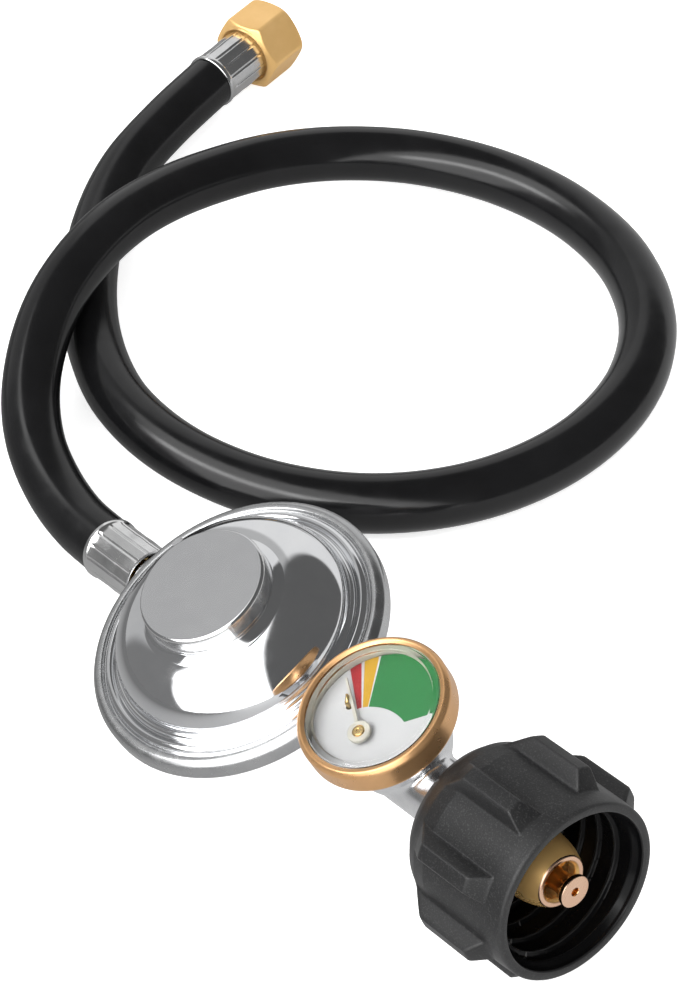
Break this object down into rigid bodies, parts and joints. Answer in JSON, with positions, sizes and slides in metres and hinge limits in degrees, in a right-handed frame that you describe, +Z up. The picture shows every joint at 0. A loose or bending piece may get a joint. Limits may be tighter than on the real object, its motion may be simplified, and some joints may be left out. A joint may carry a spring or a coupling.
{
  "type": "gas regulator with gauge and hose",
  "caption": "Low-pressure gas regulator with a lugged hand nut on its inlet, a dial gauge on its arm, and a looped black hose that ends in a brass flare nut",
  "frame": {"origin": "bottom centre of the regulator's box, without the hose and what is on it, on the surface it lies on", "axes": "X runs under the gas line from the outlet to the hand nut, Z up, Y to the side the bonnet leans away from"},
  "size_m": [0.3063, 0.2037, 0.0485],
  "materials": {
    "cast_zinc": "polished die-cast, satin in the hollows",
    "bright_chrome": "mirror bright",
    "matte_steel": "matte",
    "plain_steel": "satin",
    "pale_brass": "satin machined",
    "golden_brass": "polished",
    "black_plastic": "fine satin grain",
    "black_hose": "glossy",
    "black_rubber": "matte",
    "white_dial": "printed",
    "cream_pointer": "matte",
    "clear_lens": "clear"
  },
  "bodies": {
    "regulator": {"body_casting": "cast_zinc", "bonnet": "bright_chrome", "bonnet_cap": "matte_steel", "adjusting_screw": "black_plastic", "main_spring": "plain_steel", "diaphragm": "black_rubber", "lever_pin": "plain_steel", "orifice": "pale_brass", "vent_screen": "plain_steel", "outlet_barb": "pale_brass", "outlet_ferrule": "bright_chrome", "inlet_nipple": "pale_brass", "inlet_probe": "golden_brass", "flow_spring": "plain_steel", "thermal_bushing": "black_plastic", "gauge_socket": "pale_brass", "gauge_case": "golden_brass", "gauge_bezel": "golden_brass", "gauge_lens": "clear_lens", "gauge_dial": "white_dial", "stop_pin": "pale_brass", "movement_plate": "pale_brass", "bourdon_tube": "pale_brass", "hose": "black_hose", "far_ferrule": "bright_chrome", "flare_barb": "pale_brass"},
    "hand_nut": {"hand_nut": "black_plastic"},
    "flow_check": {"flow_poppet": "pale_brass"},
    "diaphragm_stack": {"diaphragm_plate": "plain_steel", "diaphragm_post": "pale_brass"},
    "valve_lever": {"lever": "plain_steel"},
    "valve": {"valve_holder": "pale_brass", "seat_pad": "black_rubber"},
    "gauge_sector": {"sector_gear": "pale_brass", "gauge_link": "plain_steel"},
    "gauge_pointer": {"pointer": "cream_pointer", "spindle_pinion": "pale_brass"},
    "flare_nut": {"flare_nut": "golden_brass"}
  },
  "joints": [
    {"name": "hand_nut_spin", "type": "hinge", "parent": "regulator", "child": "hand_nut", "pos_m": [0.06369, 0.00238, 0.0241], "axis": [0.9935, 0, 0.1136], "continuous": true},
    {"name": "flow_check_slide", "type": "slide", "parent": "regulator", "child": "flow_check", "axis": [0.9935, 0, 0.1136], "range_m": [-0.0011, 0], "stiffness_N_per_m": 150, "springref_m": 0.002, "deforming": ["flow_spring"]},
    {"name": "diaphragm_slide", "type": "slide", "parent": "regulator", "child": "diaphragm_stack", "axis": [-0.1072, -0.3305, 0.9377], "range_m": [0, 0.0024], "stiffness_N_per_m": 800, "springref_m": -0.006, "deforming": ["diaphragm", "main_spring"]},
    {"name": "lever_swing", "type": "hinge", "parent": "regulator", "child": "valve_lever", "pos_m": [-0.01299, 0.00337, 0.01249], "axis": [-0.0375, 0.9438, 0.3284], "range_deg": [0, 11.5]},
    {"name": "valve_slide", "type": "slide", "parent": "regulator", "child": "valve", "axis": [0.9935, 0, 0.1136], "range_m": [0, 0.0006]},
    {"name": "sector_swing", "type": "hinge", "parent": "regulator", "child": "gauge_sector", "pos_m": [0.02387, 0.00204, 0.03255], "axis": [-0.1072, -0.3305, 0.9377], "range_deg": [0, 20], "stiffness_Nm_per_rad": 0.002, "springref_deg": -11.46, "deforming": ["bourdon_tube"]},
    {"name": "pointer_spin", "type": "hinge", "parent": "regulator", "child": "gauge_pointer", "pos_m": [0.02374, -0.00598, 0.03365], "axis": [-0.1072, -0.3305, 0.9377], "range_deg": [-100, 0]},
    {"name": "flare_nut_spin", "type": "hinge", "parent": "regulator", "child": "flare_nut", "pos_m": [-0.21226, 0.14968, 0.00958], "axis": [-0.2198, 0.9755, 0], "continuous": true}
  ],
  "couplings": [
    {"joint": "lever_swing", "follows": "diaphragm_slide", "rad_per_m": 80},
    {"joint": "valve_slide", "follows": "diaphragm_slide", "ratio": 0.24},
    {"joint": "pointer_spin", "follows": "sector_swing", "ratio": -5}
  ]
}
